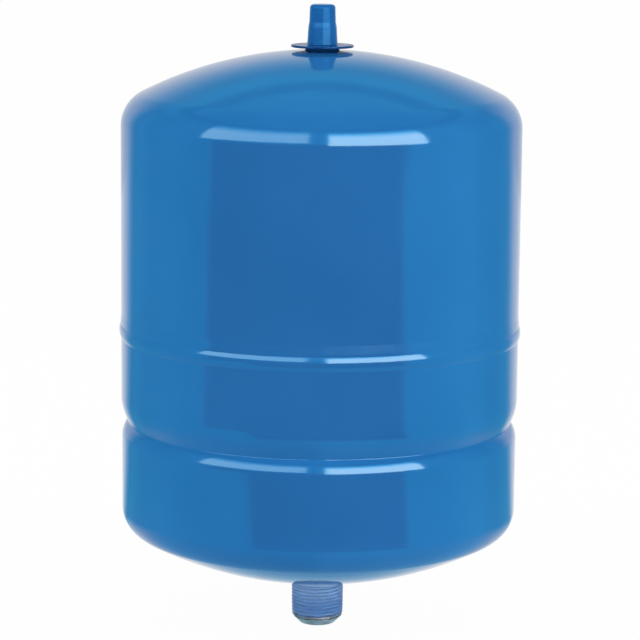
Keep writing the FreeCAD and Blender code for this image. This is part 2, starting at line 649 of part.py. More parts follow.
def core_spring():
    """Coil spring between the barrel's floor and the collar of the pin."""
    coil_radius = CORE_SPRING_ROOM - SPRING_SIDE_GAP - SPRING_WIRE / 2
    rise = PIN_COLLAR_Z - CORE_CELL_Z - SPRING_WIRE
    path = Part.makeHelix(rise / SPRING_TURNS, rise, coil_radius)
    section = Part.Wire(Part.makeCircle(SPRING_WIRE / 2, at(coil_radius, 0), FreeCAD.Vector(0, 1, 0)))
    coil = Part.Wire(path).makePipeShell([section], True, True)
    coil.translate(at(0, CORE_CELL_Z + SPRING_WIRE / 2))
    return coil


def valve_cap():
    """Moulded cap with a flat brim and a tapered, stepped crown, pushed over the stem."""
    def up(height):
        return CAP_CROWN_Z + height

    hex_corner = HEX_ACROSS_FLATS / math.sqrt(3)
    socket_radius = hex_corner + CAP_HEX_GAP
    socket_top_z = STEM_Z + CAP_SOCKET_CLEARANCE
    bore = STEM_RADIUS + CAP_STEM_GAP
    bore_top_z = CAP_TOP_Z - CAP_TOP_WALL
    outside = rounded([(socket_radius, CAP_BRIM_Z),
                       (CAP_BRIM_RADIUS, CAP_BRIM_Z),
                       (CAP_BRIM_RADIUS, CAP_CROWN_Z),
                       (CAP_BASE_RADIUS, CAP_CROWN_Z),
                       (CAP_STEP_RADIUS, up(CAP_STEP_HEIGHT)),
                       (CAP_NECK_RADIUS, up(CAP_NECK_HEIGHT)),
                       (CAP_TOP_RADIUS, CAP_TOP_Z),
                       (0, CAP_TOP_Z)],
                      [CAP_BRIM_ROUND, CAP_BRIM_ROUND, CAP_ROOT_ROUND,
                       CAP_STEP_ROUND, CAP_STEP_ROUND, CAP_CROWN_ROUND])
    inside = straight([(0, bore_top_z), (bore, bore_top_z), (bore, socket_top_z),
                       (socket_radius, socket_top_z), (socket_radius, CAP_BRIM_Z)])
    return spin(outside, inside)


def nipple_weld():
    """Bead around the connection under the lower head."""
    return fillet_weld(NIPPLE_RELIEF_RADIUS, NIPPLE_WELD_LEG, NIPPLE_WELD_BULGE,
                       LOWER_APEX_Z, LOWER_CROWN_RADIUS, -1)


def boss_weld():
    """Bead around the boss on the top head."""
    return fillet_weld(BOSS_RADIUS, BOSS_WELD_LEG, BOSS_WELD_BULGE,
                       UPPER_APEX_Z, UPPER_CROWN_RADIUS, 1)


NODES = {
    "upper_shell": upper_shell,
    "lower_shell": lower_shell,
    "girth_weld": girth_weld,
    "clench_ring": clench_ring,
    "diaphragm": diaphragm,
    "water_liner": water_liner,
    "liner_o_ring": liner_o_ring,
    "port_grille": port_grille,
    "nipple": nipple,
    "nipple_weld": nipple_weld,
    "valve_boss": valve_boss,
    "boss_weld": boss_weld,
    "valve_gasket": valve_gasket,
    "valve_body": valve_body,
    "core_head": core_head,
    "core_barrel": core_barrel,
    "core_seal": core_seal,
    "core_spring": core_spring,
    "core_pin": core_pin,
    "poppet": poppet,
    "poppet_seal": poppet_seal,
    "valve_cap": valve_cap,
}


def main():
    os.makedirs("parts", exist_ok=True)
    for name, make in NODES.items():
        shape = make()
        shape.exportStep(f"parts/{name}.step")
        box = shape.optimalBoundingBox(False)
        print(f"{name}: valid {shape.isValid()}, solids {len(shape.Solids)}, "
              f"volume {shape.Volume:.2f}, z {box.ZMin:.2f} to {box.ZMax:.2f}, r {box.XMax:.2f}")


main()
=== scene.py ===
import math

import bpy
from mathutils import Matrix, Vector


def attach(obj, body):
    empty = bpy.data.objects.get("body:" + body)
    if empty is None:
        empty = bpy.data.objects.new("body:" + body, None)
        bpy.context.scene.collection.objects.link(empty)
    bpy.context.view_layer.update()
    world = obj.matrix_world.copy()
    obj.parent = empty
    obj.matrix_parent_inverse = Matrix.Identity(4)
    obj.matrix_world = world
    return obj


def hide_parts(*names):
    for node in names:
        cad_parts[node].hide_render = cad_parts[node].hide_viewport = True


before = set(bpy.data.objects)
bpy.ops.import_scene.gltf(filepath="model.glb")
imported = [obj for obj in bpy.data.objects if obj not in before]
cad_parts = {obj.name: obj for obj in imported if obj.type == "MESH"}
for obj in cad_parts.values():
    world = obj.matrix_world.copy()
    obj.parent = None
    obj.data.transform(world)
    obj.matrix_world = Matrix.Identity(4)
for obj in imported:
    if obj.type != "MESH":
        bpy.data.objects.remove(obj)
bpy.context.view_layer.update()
scene = bpy.context.scene

DEGREES = 180 / math.pi
WHITE = (1.0, 1.0, 1.0, 1.0)

# The photograph's frame and viewpoint
FRAME_PX = 640
SENSOR_MM = 36.0
FOCAL_PX = 2826.0
CAMERA_DISTANCE = 1.449
CAMERA_ELEVATION = math.radians(9.78)
CAMERA_ROLL = math.radians(0.527)
CAMERA_CLIP = (0.05, 60.0)
FRAME_OFFSET_PX = 0.14
LOOK_AT = Vector((0.0, 0.0, 0.15926))

# Studio, as the gloss mirrors it: azimuth from the camera, positive to the right, in degrees
ROOM_COLOUR = (0.15, 1.0, 1.4, 1.0)
ROOM_LEFT_LEVEL = 0.9
ROOM_RIGHT_LEVEL = 1.2
ROOM_REAR_LEVEL = 0.55
ROOM_SHADE_LEVEL = 0.35
ROOM_TURN = (-5.0, 5.0)
ROOM_REAR = (84.0, 116.0)
ROOM_SHADE = (125.0, 133.0)
FRONT_COLOUR = (1.0, 0.55, 0.5, 1.0)
FRONT_LEVEL = 0.18
FRONT_SIDES = (-64.0, 50.5)
FRONT_SOFTNESS = 1.5
FRONT_TOP = (0.0, 4.0)
CEILING_FROM = (30.0, 40.0)
CEILING_LEVEL = 0.7
CEILING_GAP = (42.0, 48.0)
CEILING_GAP_SOFTNESS = 1.5
CEILING_GAP_LEVEL = 0.4
BACKDROP_SIDE = (126.5, 146.5)
BACKDROP_TURN = 1.5
BACKDROP_TOP = (12.0, 40.0)
BACKDROP_LEVEL = 0.84
BOX_SIDE_SOFTNESS = 1.2
BOX_FOOT_SOFTNESS = 1.5
BOX_TOP_SOFTNESS = 10.0
# Lit boxes: azimuths, elevations, level, colour
BOXES = (((-72.0, -7.0), (6.0, 35.0), 6.0, WHITE),
         ((4.0, 62.0), (-0.5, 31.0), 14.5, (1.0, 0.8, 0.74, 1.0)))
AMBIENT_LEVEL = 0.72

# Floor, seen by the camera, and table top, seen by the gloss alone
FLOOR_HALF_WIDTH = 12.0
FLOOR_Z = -0.0003
FLOOR_GLOW = 0.975
FLOOR_PAPER = (0.82, 0.82, 0.82, 1.0)
TABLE_HALF_WIDTH = 1.7
TABLE_Z = -0.0001
TABLE_LEVEL = 1.0
TABLE_WHITE = (0.02, 0.08)
TABLE_COLOUR = (0.38, 0.9, 1.22, 1.0)
TABLE_TINTED = (0.12, 0.4)
# Painted shadow of the tank on the table top's glow: reach span and level
TABLE_SHADE = (0.03, 0.14)
TABLE_SHADE_LEVEL = 0.62
# Painted light: white glow close round the axis, behind the tank
TABLE_UNDER = (-0.05, 0.05)
TABLE_UNDER_REACH = (0.12, 0.3)
TABLE_FRONT = (-64.0, 45.5)
TABLE_FRONT_SOFTNESS = 2.5
TABLE_NEAR_TURN = (-42.0, -30.0)
TABLE_NEAR_LEFT = 0.62
TABLE_NEAR_FRONT = 0.33
TABLE_NEAR_EDGE = (0.92, 1.08)

# Soft lamps: name, place, power
LAMP_SIZE = 1.1
LAMPS = (("lamp_left", (-2.0, -0.95, 1.4), 19.0),
         ("lamp_right", (1.95, -1.1, 1.4), 24.0))

# Shell: the outline that the welded tank shows
SHELL_RADIUS = 0.1016
SHELL_WALL = 0.0012
LOWER_WALL_RADIUS = 0.10125
LOWER_CROWN = 0.1956
LOWER_KNUCKLE = 0.0145
UPPER_CROWN = 0.2020
UPPER_KNUCKLE = 0.0185
LOWER_APEX_Z = 0.0263
LOWER_WALL_HEIGHT = 0.0448
GROOVE_TO_SEAM = 0.0493
SEAM_TO_SHOULDER = 0.10205
GROOVE_DEPTH = 0.0034
GROOVE_LIP_DROP = 0.0035
GROOVE_ENTRY_RISE = 0.0086
GROOVE_FACE_BENDS = (0.0110, 0.0006, 0.0250)
GROOVE_BACK_BENDS = (0.0085, 0.0016, 0.0250)
NECK_RADIUS = 0.1006
NECK_HEIGHT = 0.0027
NECK_BLEND = 0.0018
NECK_BEND = 0.0030
BELL_RADIUS = 0.1019
BELL_TAPER = 0.0044
BELL_BEND = 0.0060
LIP_BELOW_SEAM = 0.0023
LAP_LENGTH = 0.0050
WELD_CAP_RISE = 0.0038
WELD_CREST_RISE = 0.0009
WELD_CROWN = 0.00068
NIPPLE_HOLE = 0.0124
BOSS_HOLE = 0.0065

# Threaded connection, 3/4-14 taper pipe thread
PITCH = 0.0254 / 14
TAPER = 1 / 32
CREST_AT_END = 0.013015
ROOT_AT_END = 0.01158
HALF_FLAT = 0.04
STUB_RADIUS = 0.01333
STUB_END_RADIUS = 0.0090
LEAD_HEIGHT = 0.0043
THREAD_END = 0.0203
RELIEF_RADIUS = 0.0123
RELIEF_START = 0.02133
STUB_TOP = 0.0275
BORE_RADIUS = 0.0080
BORE_CHAMFER = 0.0004
SOCKET_RADIUS = 0.0096
SOCKET_FLOOR = 0.012

# Fineness of the meshes
ARC_STEP = math.radians(3.0)
ARC_LENGTH = 0.004
ARC_STEPS_LEAST = 4
SAME_PLACE = 1e-8
CREASE_COSINE = 0.5
SHELL_STEPS = 288
STUB_STEPS = 180
STUB_ROWS = 340
STUB_CREASE = math.radians(32)

# Finishes: tones in 8-bit sRGB, darker one first; a bump is its depth in metres and its strength
ENAMEL_TONES = ((33, 102, 166), (36, 106, 171))
ENAMEL_IOR = 1.55
ENAMEL_GLINT = (0.42, 0.82, 1.0, 1.0)
ENAMEL_ROUGHNESS = (0.07, 0.12)
ENAMEL_FILM_SCALE = 14.0
ENAMEL_HAZE_SCALE = 60.0
ENAMEL_PEEL_SCALE = 420.0
ENAMEL_PEEL = (0.00002, 0.35)
CAP_TONES = ((22, 88, 152), (26, 96, 162))
# Painted shade: darker blue for the cap below the brim's top
CAP_BRIM_PAINTED_SHADE = (16, 58, 112)
CAP_BRIM_TOP = (0.3001, 0.3013)
CAP_IOR = 1.42
CAP_GLINT = (0.15, 0.6, 0.9, 1.0)
CAP_ROUGHNESS = (0.22, 0.3)
CAP_FLOW_SCALE = 120.0
CAP_FLOW_STRETCH = (1.0, 1.0, 0.25)
CAP_HAZE_SCALE = 400.0
CAP_GRAIN_SCALE = 2600.0
CAP_GRAIN = (0.00002, 0.5)
METAL_PATCH_SCALE = 180.0
METAL_PATCH_SPAN = (0.35, 0.7)
METAL_HAZE_SPAN = (0.3, 0.75)
METAL_DULLER = 0.08
METAL_BRIGHTER = 0.04
METAL_RING_STRETCH = (0.02, 0.02, 1.0)
METAL_RING_SCALE = 9000.0
METAL_RINGS = (0.00001, 0.5)
BLOOM_SCALE = 90.0
BLOOM_SPAN = (0.4, 0.8)
BLOOM_GAIN = 1.35
BLOOM_LIFT = 0.004
BLOOM_HAZE_SPAN = (0.3, 0.8)
BLOOM_DULLER = 0.1
MOULD_GRAIN = (0.00003, 0.4)
STEEL_TONES = ((140, 144, 146), (166, 170, 172))
STEEL_ROUGHNESS = 0.36
STEEL_RING_SCALE = 7000.0
# Overspray blues: the darker low down, the lighter towards the top as painted light
OVERSPRAY_BLUE_AND_PAINTED_LIGHT = ((124, 172, 222), (172, 212, 248))
OVERSPRAY_PAINTED_LIGHT_SPAN = (0.009, 0.02)
OVERSPRAY_EDGE = (0.0042, 0.0068)
OVERSPRAY_DRIFT = 0.0028
OVERSPRAY_MIST_SCALE = 260.0
OVERSPRAY_MIST_SPAN = (0.2, 0.7)
OVERSPRAY_COVER = (0.82, 0.98)
OVERSPRAY_BARE = (0.1, 0.9)
OVERSPRAY_ROUGHNESS = 0.55
MIDDLE = (0.3, 0.7)
HAZE_MIDDLE = (0.25, 0.75)


class Graph:
    """Small builder for a node tree."""

    def __init__(self, tree):
        self.tree = tree
        tree.nodes.clear()

    def node(self, kind, **values):
        made = self.tree.nodes.new(kind)
        for name, value in values.items():
            setattr(made, name, value)
        return made

    def feed(self, socket, value):
        if isinstance(value, bpy.types.NodeSocket):
            self.tree.links.new(value, socket)
        else:
            socket.default_value = value

    def math(self, operation, a, b=0.0):
        made = self.node("ShaderNodeMath", operation=operation)
        self.feed(made.inputs[0], a)
        self.feed(made.inputs[1], b)
        return made.outputs[0]

    def times(self, a, b):
        return self.math("MULTIPLY", a, b)

    def split(self, vector):
        made = self.node("ShaderNodeSeparateXYZ")
        self.feed(made.inputs[0], vector)
        return made.outputs

    def ramp(self, value, low, high, out_low=0.0, out_high=1.0):
        made = self.node("ShaderNodeMapRange", interpolation_type="SMOOTHSTEP")
        for socket, given in zip(made.inputs, (value, low, high, out_low, out_high)):
            self.feed(socket, given)
        return made.outputs[0]

    def blend(self, factor, a, b):
        made = self.node("ShaderNodeMix", data_type="RGBA")
        self.feed(made.inputs[0], factor)
        self.feed(made.inputs[6], a)
        self.feed(made.inputs[7], b)
        return made.outputs[2]

    def lerp(self, factor, a, b):
        made = self.node("ShaderNodeMix", data_type="FLOAT")
        self.feed(made.inputs[0], factor)
        self.feed(made.inputs[2], a)
        self.feed(made.inputs[3], b)
        return made.outputs[0]

    def window(self, value, low, high, soft):
        """1 between low and high, with soft edges."""
        rise = self.ramp(value, low - soft, low + soft)
        fall = self.ramp(value, high - soft, high + soft, 1.0, 0.0)
        return self.times(rise, fall)

    def result(self, kind, shader):
        self.feed(self.node(kind).inputs[0], shader.outputs[0])


def linear(red, green, blue):
    """Colour from 8-bit sRGB values."""
    def channel(value):
        share = value / 255
        return share / 12.92 if share <= 0.04045 else ((share + 0.055) / 1.055) ** 2.4
    return (channel(red), channel(green), channel(blue), 1.0)


def node_material(name):
    made = bpy.data.materials.new(name)
    made.use_nodes = True
    return made, Graph(made.node_tree)


def place_object(name, data):
    made = bpy.data.objects.new(name, data)
    scene.collection.objects.link(made)
    return made


def make_camera():
    data = bpy.data.cameras.new("photo_camera")
    data.sensor_width = SENSOR_MM
    data.lens = FOCAL_PX / FRAME_PX * SENSOR_MM
    data.shift_x = FRAME_OFFSET_PX / FRAME_PX
    data.clip_start, data.clip_end = CAMERA_CLIP
    camera = place_object("photo_camera", data)
    away = Vector((0.0, -math.cos(CAMERA_ELEVATION), math.sin(CAMERA_ELEVATION)))
    turn = (-away).to_track_quat("-Z", "Y").to_matrix().to_4x4()
    camera.matrix_world = (Matrix.Translation(LOOK_AT + away * CAMERA_DISTANCE)
                           @ turn @ Matrix.Rotation(CAMERA_ROLL, 4, "Z"))
    scene.camera = camera


# Studio
def around_axis(g, x, y):
    """Azimuth in degrees, 0 at the camera and positive to the right."""
    return g.times(g.math("ARCTAN2", x, g.times(y, -1.0)), DEGREES)


def room_level(g, azimuth):
    """Level of the room's walls round the object."""
    turned_away = g.math("ABSOLUTE", azimuth)
    level = g.lerp(g.ramp(azimuth, *ROOM_TURN), ROOM_LEFT_LEVEL, ROOM_RIGHT_LEVEL)
    level = g.lerp(g.ramp(turned_away, *ROOM_REAR), level, ROOM_REAR_LEVEL)
    return g.lerp(g.ramp(turned_away, *ROOM_SHADE), level, ROOM_SHADE_LEVEL)


def backdrop_share(g, azimuth):
    """1 where the white backdrop stands behind the object, 0 at the room's sides."""
    return g.ramp(g.math("ABSOLUTE", g.math("ADD", azimuth, BACKDROP_TURN)), *BACKDROP_SIDE)


def make_world():
    """White for the camera, an even level for light, and the studio for the gloss."""
    world = bpy.data.worlds.new("studio")
    scene.world = world
    world.use_nodes = True
    g = Graph(world.node_tree)
    x, y, z = g.split(g.node("ShaderNodeTexCoord").outputs["Generated"])
    azimuth = around_axis(g, x, y)
    elevation = g.times(g.math("ARCSINE", z), DEGREES)

    level = room_level(g, azimuth)
    front = g.times(g.window(azimuth, *FRONT_SIDES, FRONT_SOFTNESS),
                    g.ramp(elevation, *FRONT_TOP, 1.0, 0.0))
    level = g.lerp(front, level, FRONT_LEVEL)
    colour = g.blend(front, ROOM_COLOUR, FRONT_COLOUR)
    level = g.lerp(g.ramp(elevation, *CEILING_FROM), level, CEILING_LEVEL)
    gap = g.window(elevation, *CEILING_GAP, CEILING_GAP_SOFTNESS)
    level = g.lerp(gap, level, CEILING_GAP_LEVEL)
    behind = g.times(backdrop_share(g, azimuth), g.ramp(elevation, *BACKDROP_TOP, 1.0, 0.0))
    level = g.lerp(behind, level, BACKDROP_LEVEL)
    colour = g.blend(behind, colour, WHITE)
    for sides, (low, high), strength, light in BOXES:
        foot = g.ramp(elevation, low - BOX_FOOT_SOFTNESS, low + BOX_FOOT_SOFTNESS)
        top = g.ramp(elevation, high - BOX_TOP_SOFTNESS, high + BOX_TOP_SOFTNESS, 1.0, 0.0)
        box = g.times(g.window(azimuth, *sides, BOX_SIDE_SOFTNESS), g.times(foot, top))
        level = g.lerp(box, level, strength)
        colour = g.blend(box, colour, light)

    rays = g.node("ShaderNodeLightPath").outputs
    mirrored = g.math("MAXIMUM", rays["Is Glossy Ray"], rays["Is Transmission Ray"])
    seen = g.lerp(mirrored, AMBIENT_LEVEL, level)
    seen = g.lerp(rays["Is Camera Ray"], seen, 1.0)
    background = g.node("ShaderNodeBackground")
    g.feed(background.inputs["Color"], g.blend(mirrored, WHITE, colour))
    g.feed(background.inputs["Strength"], seen)
    g.result("ShaderNodeOutputWorld", background)
    world.cycles.sampling_method = "NONE"


def plane(name, half_width, z, finish):
    """Level square of the stage, centred on the axis."""
    low, high = -half_width, half_width
    mesh = bpy.data.meshes.new(name)
    mesh.from_pydata([(low, low, z), (high, low, z), (high, high, z), (low, high, z)],
                     [], [(0, 1, 2, 3)])
    mesh.materials.append(finish)
    made = place_object(name, mesh)
    return made


def floor_finish():
    """White for the camera, which still takes the object's shadow."""
    made, g = node_material("floor_white")
    paper = g.node("ShaderNodeBsdfDiffuse")
    g.feed(paper.inputs["Color"], FLOOR_PAPER)
    glow = g.node("ShaderNodeEmission")
    g.feed(glow.inputs["Color"], WHITE)
    mixed = g.node("ShaderNodeMixShader")
    rays = g.node("ShaderNodeLightPath").outputs
    g.feed(mixed.inputs[0], g.times(rays["Is Camera Ray"], FLOOR_GLOW))
    g.feed(mixed.inputs[1], paper.outputs[0])
    g.feed(mixed.inputs[2], glow.outputs[0])
    g.result("ShaderNodeOutputMaterial", mixed)
    return made


def table_finish():
    """White behind the object, tinted round it and dark in front, beyond the near part, glowing for
    the gloss alone; dimmed round the axis as a painted shadow of the tank, and white close behind
    it as painted light.
    """
    made, g = node_material("table_white")
    place = g.node("ShaderNodeTexCoord").outputs["Object"]
    x, y = g.split(place)[:2]
    azimuth = around_axis(g, x, y)
    length = g.node("ShaderNodeVectorMath", operation="LENGTH")
    g.feed(length.inputs[0], place)
    reach = length.outputs["Value"]

    # Painted shadow: the glow is dimmed round the axis, under the tank.
    level = g.lerp(g.ramp(reach, *TABLE_SHADE), TABLE_SHADE_LEVEL, room_level(g, azimuth))
    near = g.lerp(g.ramp(azimuth, *TABLE_NEAR_TURN), TABLE_NEAR_LEFT, TABLE_NEAR_FRONT)
    beyond = g.ramp(g.math("DIVIDE", reach, near), *TABLE_NEAR_EDGE)
    front = g.times(g.window(azimuth, *TABLE_FRONT, TABLE_FRONT_SOFTNESS), beyond)
    level = g.lerp(front, level, FRONT_LEVEL)
    behind = g.times(backdrop_share(g, azimuth), g.ramp(reach, *TABLE_WHITE))
    # Painted light: the glow turns white close round the axis, behind the tank.
    under = g.times(g.ramp(y, *TABLE_UNDER), g.ramp(reach, *TABLE_UNDER_REACH, 1.0, 0.0))
    white = g.math("MAXIMUM", behind, under)
    level = g.lerp(white, level, TABLE_LEVEL)
    colour = g.blend(g.ramp(reach, *TABLE_TINTED), TABLE_COLOUR, ROOM_COLOUR)
    colour = g.blend(white, g.blend(front, colour, FRONT_COLOUR), WHITE)

    glow = g.node("ShaderNodeEmission")
    g.feed(glow.inputs["Color"], colour)
    g.feed(glow.inputs["Strength"], level)
    g.result("ShaderNodeOutputMaterial", glow)
    return made


def make_stage():
    floor = plane("floor", FLOOR_HALF_WIDTH, FLOOR_Z, floor_finish())
    floor.visible_glossy = False
    # Glowing table top for the gloss, with a painted shadow of the tank round the axis
    table = plane("table_top", TABLE_HALF_WIDTH, TABLE_Z, table_finish())
    table.visible_camera = False
    table.visible_diffuse = False
    table.visible_shadow = False
    for name, place, power in LAMPS:
        data = bpy.data.lights.new(name, "AREA")
        data.shape = "SQUARE"
        data.size = LAMP_SIZE
        data.energy = power
        lamp = place_object(name, data)
        lamp.location = place
        lamp.rotation_mode = "QUATERNION"
        lamp.rotation_quaternion = (LOOK_AT - Vector(place)).to_track_quat("-Z", "Y")
        lamp.visible_glossy = False


# Finishes
def surface(name):
    """New material, its graph, its shader and the coordinates of the object it is on."""
    made, g = node_material(name)
    shader = g.node("ShaderNodeBsdfPrincipled")
    g.result("ShaderNodeOutputMaterial", shader)
    return made, g, shader, g.node("ShaderNodeTexCoord").outputs["Object"]


def noise(g, place, scale, detail=2.0, stretch=None):
    if stretch is not None:
        mapping = g.node("ShaderNodeMapping")
        g.feed(mapping.inputs["Vector"], place)
        mapping.inputs["Scale"].default_value = stretch
        place = mapping.outputs[0]
    made = g.node("ShaderNodeTexNoise")
    g.feed(made.inputs["Vector"], place)
    made.inputs["Scale"].default_value = scale
    made.inputs["Detail"].default_value = detail
    return made.outputs["Fac"]


def two_tones(g, value, span, tones):
    return g.blend(g.ramp(value, *span), *(linear(*tone) for tone in tones))


def bump(g, shader, height, depth, strength):
    made = g.node("ShaderNodeBump")
    made.inputs["Strength"].default_value = strength
    made.inputs["Distance"].default_value = depth
    g.feed(made.inputs["Height"], height)
    g.feed(shader.inputs["Normal"], made.outputs[0])


def gloss(shader, ior, glint):
    shader.inputs["IOR"].default_value = ior
    shader.inputs["Specular Tint"].default_value = glint


def enamel(name):
    """Gloss blue enamel with faint orange peel and a slightly uneven film."""
    made, g, shader, place = surface(name)
    film = noise(g, place, ENAMEL_FILM_SCALE, 3.0)
    haze = noise(g, place, ENAMEL_HAZE_SCALE, 4.0)
    g.feed(shader.inputs["Base Color"], two_tones(g, film, MIDDLE, ENAMEL_TONES))
    g.feed(shader.inputs["Roughness"], g.ramp(haze, *HAZE_MIDDLE, *ENAMEL_ROUGHNESS))
    gloss(shader, ENAMEL_IOR, ENAMEL_GLINT)
    bump(g, shader, noise(g, place, ENAMEL_PEEL_SCALE, 1.0), *ENAMEL_PEEL)
    return made


def moulded_cap(name):
    """Satin blue moulded plastic with a fine spark-eroded grain; the brim is darkened as painted
    shade.
    """
    made, g, shader, place = surface(name)
    flow = noise(g, place, CAP_FLOW_SCALE, 3.0, CAP_FLOW_STRETCH)
    haze = noise(g, place, CAP_HAZE_SCALE)
    # Painted shade: below the brim's top the cap takes a darker blue.
    brim = g.ramp(g.split(place)[2], *CAP_BRIM_TOP, 1.0, 0.0)
    colour = g.blend(brim, two_tones(g, flow, MIDDLE, CAP_TONES), linear(*CAP_BRIM_PAINTED_SHADE))
    g.feed(shader.inputs["Base Color"], colour)
    g.feed(shader.inputs["Roughness"], g.ramp(haze, *MIDDLE, *CAP_ROUGHNESS))
    gloss(shader, CAP_IOR, CAP_GLINT)
    bump(g, shader, noise(g, place, CAP_GRAIN_SCALE), *CAP_GRAIN)
    return made


def tool_marks(g, shader, place, scale):
    """Fine rings round Z."""
    bump(g, shader, noise(g, place, scale, 2.0, METAL_RING_STRETCH), *METAL_RINGS)


def turned(name, light, dark, rough, ring_scale=METAL_RING_SCALE):
    """Turned metal with light and dark patches."""
    made, g, shader, place = surface(name)
    patches = noise(g, place, METAL_PATCH_SCALE, 4.0)
    g.feed(shader.inputs["Base Color"], two_tones(g, patches, METAL_PATCH_SPAN, (dark, light)))
    shader.inputs["Metallic"].default_value = 1.0
    g.feed(shader.inputs["Roughness"], g.ramp(patches, *METAL_HAZE_SPAN,
                                              rough + METAL_DULLER, rough - METAL_BRIGHTER))
    tool_marks(g, shader, place, ring_scale)
    return made


def elastomer(name, tone, rough, grain_scale):
    """Matt rubber or polymer with a moulded grain and a bloom of lighter dust."""
    made, g, shader, place = surface(name)
    bloom = noise(g, place, BLOOM_SCALE, 4.0)
    colour = linear(*tone)
    lighter = tuple(min(1.0, c * BLOOM_GAIN + BLOOM_LIFT) for c in colour[:3]) + (1.0,)
    g.feed(shader.inputs["Base Color"], g.blend(g.ramp(bloom, *BLOOM_SPAN), colour, lighter))
    g.feed(shader.inputs["Roughness"], g.ramp(bloom, *BLOOM_HAZE_SPAN, rough, rough + BLOOM_DULLER))
    bump(g, shader, noise(g, place, grain_scale), *MOULD_GRAIN)
    return made


def oversprayed_steel(name):
    """Turned steel of the connection: thin blue overspray that stops at the bare lead, its blue
    lighter towards the top as painted light.
    """
    made, g, shader, place = surface(name)
    height = g.split(place)[2]
    mist = noise(g, place, OVERSPRAY_MIST_SCALE, 4.0)
    patches = noise(g, place, METAL_PATCH_SCALE, 4.0)
    drift = g.times(g.math("SUBTRACT", mist, 0.5), OVERSPRAY_DRIFT)
    film = g.times(g.ramp(g.math("ADD", height, drift), *OVERSPRAY_EDGE),
                   g.ramp(mist, *OVERSPRAY_MIST_SPAN, *OVERSPRAY_COVER))
    steel = two_tones(g, patches, METAL_PATCH_SPAN, STEEL_TONES)
    # Painted light: the overspray's blue turns lighter towards the top of the connection.
    paint = two_tones(g, height, OVERSPRAY_PAINTED_LIGHT_SPAN, OVERSPRAY_BLUE_AND_PAINTED_LIGHT)
    g.feed(shader.inputs["Base Color"], g.blend(film, steel, paint))
    g.feed(shader.inputs["Metallic"], g.ramp(film, *OVERSPRAY_BARE, 1.0, 0.0))
    g.feed(shader.inputs["Roughness"], g.lerp(film, STEEL_ROUGHNESS, OVERSPRAY_ROUGHNESS))
    tool_marks(g, shader, place, STEEL_RING_SCALE)
    return made


# Turned outlines: samples (radius, height, normal radius, normal height), the solid on the left
def line_run(first, last):
    length = math.dist(first, last)
    normal = ((last[1] - first[1]) / length, (first[0] - last[0]) / length)
    return [(*first, *normal), (*last, *normal)]


def arc_run(center, radius, start, end, facing=1):
    """Arc between two angles; facing is 1 where the surface looks away from the centre."""
    sweep = end - start
    steps = max(ARC_STEPS_LEAST, math.ceil(abs(sweep) / ARC_STEP),
                math.ceil(radius * abs(sweep) / ARC_LENGTH))
    run = []
    for k in range(steps + 1):
        angle = start + sweep * k / steps
        across, along = math.cos(angle), math.sin(angle)
        run.append((center[0] + radius * across, center[1] + radius * along,
                    facing * across, facing * along))
    return run


def through_run(first, middle, last):
    """Arc through three points that are passed with the solid on the left."""
    (ax, ay), (bx, by), (cx, cy) = first, middle, last
    twice = 2 * (ax * (by - cy) + bx * (cy - ay) + cx * (ay - by))
    a, b, c = (x * x + y * y for x, y in (first, middle, last))
    center = ((a * (by - cy) + b * (cy - ay) + c * (ay - by)) / twice,
              (a * (cx - bx) + b * (ax - cx) + c * (bx - ax)) / twice)
    start, end = (math.atan2(y - center[1], x - center[0]) for x, y in (first, last))
    return arc_run(center, math.dist(first, center), start, end)


def bent_run(points, bends):
    """Straight stretches through the points, each inner corner rounded to its bend."""
    run = []
    start = points[0]
    for before, corner, after, bend in zip(points, points[1:], points[2:], bends):
        arriving = math.atan2(corner[1] - before[1], corner[0] - before[0])
        leaving = math.atan2(after[1] - corner[1], after[0] - corner[0])
        turn = leaving - arriving
        facing = 1 if turn > 0 else -1
        reach = bend * math.tan(abs(turn) / 2)
        first = (corner[0] - reach * math.cos(arriving),
                 corner[1] - reach * math.sin(arriving))
        center = (first[0] - facing * bend * math.sin(arriving),
                  first[1] + facing * bend * math.cos(arriving))
        square = facing * math.pi / 2
        run += line_run(start, first)
        run += arc_run(center, bend, arriving - square, leaving - square, facing)
        start = run[-1][:2]
    return run + line_run(start, points[-1])


def parallel(run, offset):
    """The same surface, moved into the solid."""
    return [(r - offset * nr, z - offset * nz, nr, nz) for r, z, nr, nz in run]


def back_of(run):
    """The same surface, passed the other way by the solid behind it."""
    return [(r, z, -nr, -nz) for r, z, nr, nz in reversed(run)]


def head_turn(wall, crown, knuckle):
    """Angle between the axis and the joint of crown and knuckle."""
    return math.asin((wall - knuckle) / (crown - knuckle))


def head_depth(wall, crown, knuckle):
    """Height between the apex and the tangent line."""
    return crown - (crown - knuckle) * math.cos(head_turn(wall, crown, knuckle))


def head_run(side, tangent_z, wall, crown, knuckle, hole, offset):
    """Dished head from its hole to the wall: side is -1 below the tangent line, 1 above it."""
    turn = head_turn(wall, crown, knuckle)
    square = side * math.pi / 2
    crown_z = tangent_z - side * (crown - knuckle) * math.cos(turn)
    start = math.asin(hole / (crown - offset))
    return (arc_run((0.0, crown_z), crown - offset, square - side * start, square - side * turn)
            + arc_run((wall - knuckle, tangent_z), knuckle - offset, square - side * turn, 0.0))


# Meshes turned about Z
def circle_points(around):
    return [(math.cos(2 * math.pi * step / around), math.sin(2 * math.pi * step / around))
            for step in range(around)]


def ring_faces(rings, around):
    """Faces between rings of vertices that follow one another, the last one back to the first."""
    faces = []
    for ring in range(rings):
        here, there = ring * around, (ring + 1) % rings * around
        for step in range(around):
            after = (step + 1) % around
            faces.append((here + step, here + after, there + after, there + step))
    return faces


